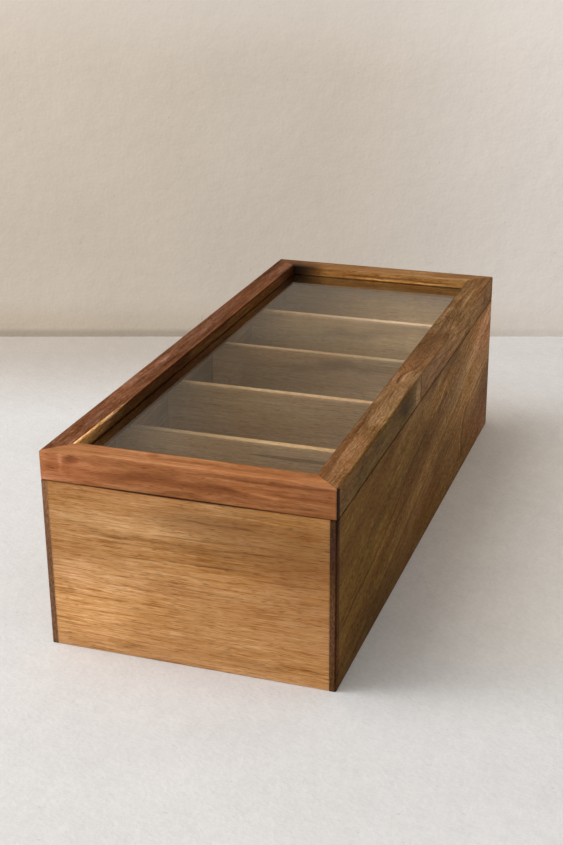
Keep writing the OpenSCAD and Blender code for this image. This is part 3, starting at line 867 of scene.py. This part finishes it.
            ("z", (70.6, 20, 105.5), (69.4, 170, 105.5), 0.4, 0.7, 0.25),
            # painted highlight under the top arris at the rear
            ("x", (75, -8, 104.6), (75, 190, 104.6), 0.0, 0.8, 0.4),
            ("x", (75, 0, 104), (75, 60, 95), 0.0, 0.7, -0.4),
            ("x", (75, 24, 104), (75, 86, 95.5), 0.0, 0.6, 0.3),
            ("x", (75, 44, 103.5), (75, 112, 94), 0.0, 0.8, -0.4),
            ("x", (75, 76, 104), (75, 134, 95.5), 0.0, 0.7, 0.3),
            ("x", (75, 96, 104), (75, 156, 95), 0.0, 0.7, -0.35),
            ("x", (75, -21.2, 105.5), (75, -20.8, 89), 0.0, 0.9, -0.9),
        ],
        "stains": [
            ((75, -110, 96), (3, 130, 60), (0, 0, 0), (112, 82, 34), 0.95),
            ((75, 90, 96), (3, 110, 60), (0, 0, 0), (138, 102, 56), 0.8),
            ((75, -56, 99), (3, 30, 14), (0, 0, 0), (89, 61, 13), 0.9),
            ((67.5, 60, 105.5), (12, 90, 3), (0, 0, 0), (124, 93, 60), 0.8),
            ((75.3, -180, 98), (1.5, 5.0, 400), (0, 0, 0), (48, 24, 6), 1.0, "sharp"),
        ],
    },
}

for nodeName, changes in boards.items():
    dress(nodeName, woodMaterial(nodeName, changes))
print("boards dressed")


# Glass

glassLook = {
    "clean": (0.99, 0.98, 0.92, 1.0),
    "dusty": (0.88, 0.875, 0.82, 1.0),
    "lampLight": (0.84, 0.86, 0.83, 1.0),  # what the pane lets through of the lamps' light
    "haze": 0.04,  # roughness of the hazy places
    "ior": 1.5,
    "waviness": 0.05,
}


def glassMaterial(s):
    material, tree = newMaterial("clearGlass")
    place = placeInMm(tree)
    haze = noise(tree, place, (30, 50, 30), 3, 0.6)
    roughness = calc(tree, "MULTIPLY", ramp01(tree, haze, 0.45, 0.8), s["haze"])
    specks = noise(tree, place, (0.8, 1.2, 0.8), 2, 0.6)
    tone = blend(tree, ramp01(tree, specks, 0.35, 0.65), s["dusty"], s["clean"])
    waves = noise(tree, place, (60, 90, 60), 1)
    bump = put(tree, "Bump", {"Height": waves, "Strength": s["waviness"], "Distance": 0.001})
    shader = put(tree, "BsdfPrincipled", {
        "Base Color": tone, "Roughness": roughness, "IOR": s["ior"], "Transmission Weight": 1.0,
        "Normal": bump.outputs[0],
    })
    # lamps shine through the pane, so that the compartments are lit
    clear = put(tree, "BsdfTransparent", {"Color": s["lampLight"]})
    fromLamp = put(tree, "LightPath").outputs["Is Shadow Ray"]
    shown = put(tree, "MixShader", {0: fromLamp, 1: shader.outputs[0], 2: clear.outputs[0]})
    put(tree, "OutputMaterial", {"Surface": shown.outputs[0]})
    return material


dress("lid_glass", glassMaterial(glassLook))


# Brass of the hinges

brassLook = {
    "leaf": (234, 194, 116),
    "pin": (222, 182, 112),
    "leafRoughness": 0.26,
    "pinRoughness": 0.2,
    "tarnish": (158, 118, 66),
    "brushed": (246, 220, 158),
}


def brassMaterial(name, colour, roughness):
    material, tree = newMaterial(name)
    place = placeInMm(tree)
    brushed = noise(tree, place, (0.15, 6, 0.15), 3, 0.6)
    tarnish = ramp01(tree, noise(tree, place, (5, 9, 5), 3, 0.6), 0.42, 0.72)
    tarnished = calc(tree, "MULTIPLY", tarnish, 0.55)
    shade = blend(tree, tarnished, linear(colour), linear(brassLook["tarnish"]))
    shade = blend(tree, calc(tree, "MULTIPLY", brushed, 0.25), shade, linear(brassLook["brushed"]))
    rough = calc(tree, "MULTIPLY_ADD", tarnish, 0.15, roughness)
    rough = calc(tree, "MULTIPLY_ADD", brushed, 0.18, rough)
    bump = put(tree, "Bump", {"Height": brushed, "Strength": 0.25, "Distance": 0.00005})
    shader = put(tree, "BsdfPrincipled", {
        "Base Color": shade, "Metallic": 1.0, "Roughness": rough, "Normal": bump.outputs[0],
    })
    put(tree, "OutputMaterial", {"Surface": shader.outputs[0]})
    return material


leafBrass = brassMaterial("hingeBrass", brassLook["leaf"], brassLook["leafRoughness"])
pinBrass = brassMaterial("pinBrass", brassLook["pin"], brassLook["pinRoughness"])
for nodeName in cadNodes:
    if nodeName.startswith("hinge_leaf"):
        dress(nodeName, leafBrass)
    elif nodeName.startswith("hinge_pin"):
        dress(nodeName, pinBrass)
print("glass and brass dressed")


# Hinge screws, made by one Geometry Nodes tree: countersunk, with a cross recess in the head

# metres
screwSizes = {
    "Head Radius": 0.0015,
    "Head Height": 0.0006,
    "Shank Radius": 0.0009,
    "Recess Length": 0.0019,
    "Recess Width": 0.00042,
    "Recess Depth": 0.00045,
}


def makeScrewTree(material):
    floats = (*screwSizes, "Length", "Hinge Spacing", "Screw Spacing")
    geometry = {"Geometry": "Geometry"}
    inputs = geometry | {name: "Float" for name in floats} | {"Place": "Vector", "Turn": "Vector"}
    g, given, result = newGroup("hingeScrews", inputs, geometry, "GeometryNodeTree")

    def node(kind, links=None, **settings):
        made = g.nodes.new(kind)
        for name, value in settings.items():
            setattr(made, name, value)
        for name, value in (links or {}).items():
            wire(g, value, made.inputs[name])
        return made

    def maths(operation, a, b):
        return node("ShaderNodeMath", {0: a, 1: b}, operation=operation).outputs[0]

    def vector(x=0.0, y=0.0, z=0.0):
        return node("ShaderNodeCombineXYZ", {"X": x, "Y": y, "Z": z}).outputs[0]

    def moved(part, offset):
        return node("GeometryNodeTransform", {"Geometry": part, "Translation": offset}).outputs[0]

    def pairAt(spacing):
        # two points, one on each side of the origin along Y
        line = node("GeometryNodeMeshLine", {"Count": 2, "Offset": vector(y=spacing)}).outputs[0]
        return moved(line, vector(y=maths("MULTIPLY", spacing, -0.5)))

    # head face at the origin, point downwards
    head = node("GeometryNodeMeshCone", {
        "Vertices": 32, "Radius Top": given["Head Radius"], "Radius Bottom": given["Shank Radius"],
        "Depth": given["Head Height"],
    }).outputs["Mesh"]
    head = moved(head, vector(z=maths("MULTIPLY", given["Head Height"], -1.0)))
    overlap = maths("MULTIPLY", given["Head Height"], 0.5)
    shankLength = maths("SUBTRACT", given["Length"], overlap)
    tipRadius = maths("MULTIPLY", given["Shank Radius"], 0.35)
    shank = node("GeometryNodeMeshCone", {
        "Vertices": 24, "Radius Top": given["Shank Radius"], "Radius Bottom": tipRadius,
        "Depth": shankLength,
    }).outputs["Mesh"]
    shank = moved(shank, vector(z=maths("MULTIPLY", given["Length"], -1.0)))
    arms = []
    for first, second in (("Recess Length", "Recess Width"), ("Recess Width", "Recess Length")):
        deep = maths("MULTIPLY", given["Recess Depth"], 2.0)
        size = vector(given[first], given[second], deep)
        arms.append(node("GeometryNodeMeshCube", {"Size": size}).outputs["Mesh"])
    cut = node("GeometryNodeMeshBoolean", {"Mesh 1": head}, operation="DIFFERENCE", solver="EXACT")
    for arm in arms:
        g.links.new(arm, cut.inputs["Mesh 2"])
    one = node("GeometryNodeJoinGeometry")
    for part in (cut.outputs[0], shank):
        g.links.new(part, one.inputs[0])

    # two screws at each of the two hinges
    pair = node("GeometryNodeInstanceOnPoints", {
        "Points": pairAt(given["Screw Spacing"]), "Instance": one.outputs[0], "Rotation": given["Turn"],
    }).outputs[0]
    both = node("GeometryNodeInstanceOnPoints", {
        "Points": pairAt(given["Hinge Spacing"]), "Instance": pair,
    }).outputs[0]
    real = node("GeometryNodeRealizeInstances", {"Geometry": moved(both, given["Place"])}).outputs[0]
    finished = node("GeometryNodeSetMaterial", {"Geometry": real, "Material": material}).outputs[0]
    wire(g, finished, result["Geometry"])
    return g


def screwsPiece(name, tree, nodeName, leafName, turn):
    low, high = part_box(nodeName)
    leafLow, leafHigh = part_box(leafName)
    hingeY = (leafLow.y + leafHigh.y) / 2
    headZ = high.z if turn == 0 else low.z  # the lid's screws are turned over
    values = screwSizes | {
        "Length": high.z - low.z,
        "Hinge Spacing": 2 * hingeY,
        "Screw Spacing": 2 * (high.y - screwSizes["Head Radius"] - hingeY),
        "Place": ((low.x + high.x) / 2, 0.0, headZ),
        "Turn": (turn, 0.0, 0.0),
    }
    mesh = bpy.data.meshes.new(name)
    maker = bpy.data.objects.new(name + "Maker", mesh)
    bpy.context.scene.collection.objects.link(maker)
    modifier = maker.modifiers.new("screws", "NODES")
    modifier.node_group = tree
    for item in tree.interface.items_tree:
        if item.in_out == "INPUT" and item.name in values:
            modifier[item.identifier] = values[item.name]
    evaluated = maker.evaluated_get(bpy.context.evaluated_depsgraph_get())
    made = bpy.data.meshes.new_from_object(evaluated)
    bpy.data.objects.remove(maker)
    piece = bpy.data.objects.new(name, made)
    bpy.context.scene.collection.objects.link(piece)
    return piece


screwTree = makeScrewTree(pinBrass)
for name, nodeName, leafName, body, turn in (
    ("screwsInBox", "hinge_screws_body", "hinge_leaf_body_rear", "box", 0.0),
    ("screwsInLid", "hinge_screws_lid", "hinge_leaf_lid_rear", "lid", math.pi),
):
    piece = screwsPiece(name, screwTree, nodeName, leafName, turn)
    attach(piece, body)
    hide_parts(nodeName)
print("screws made")
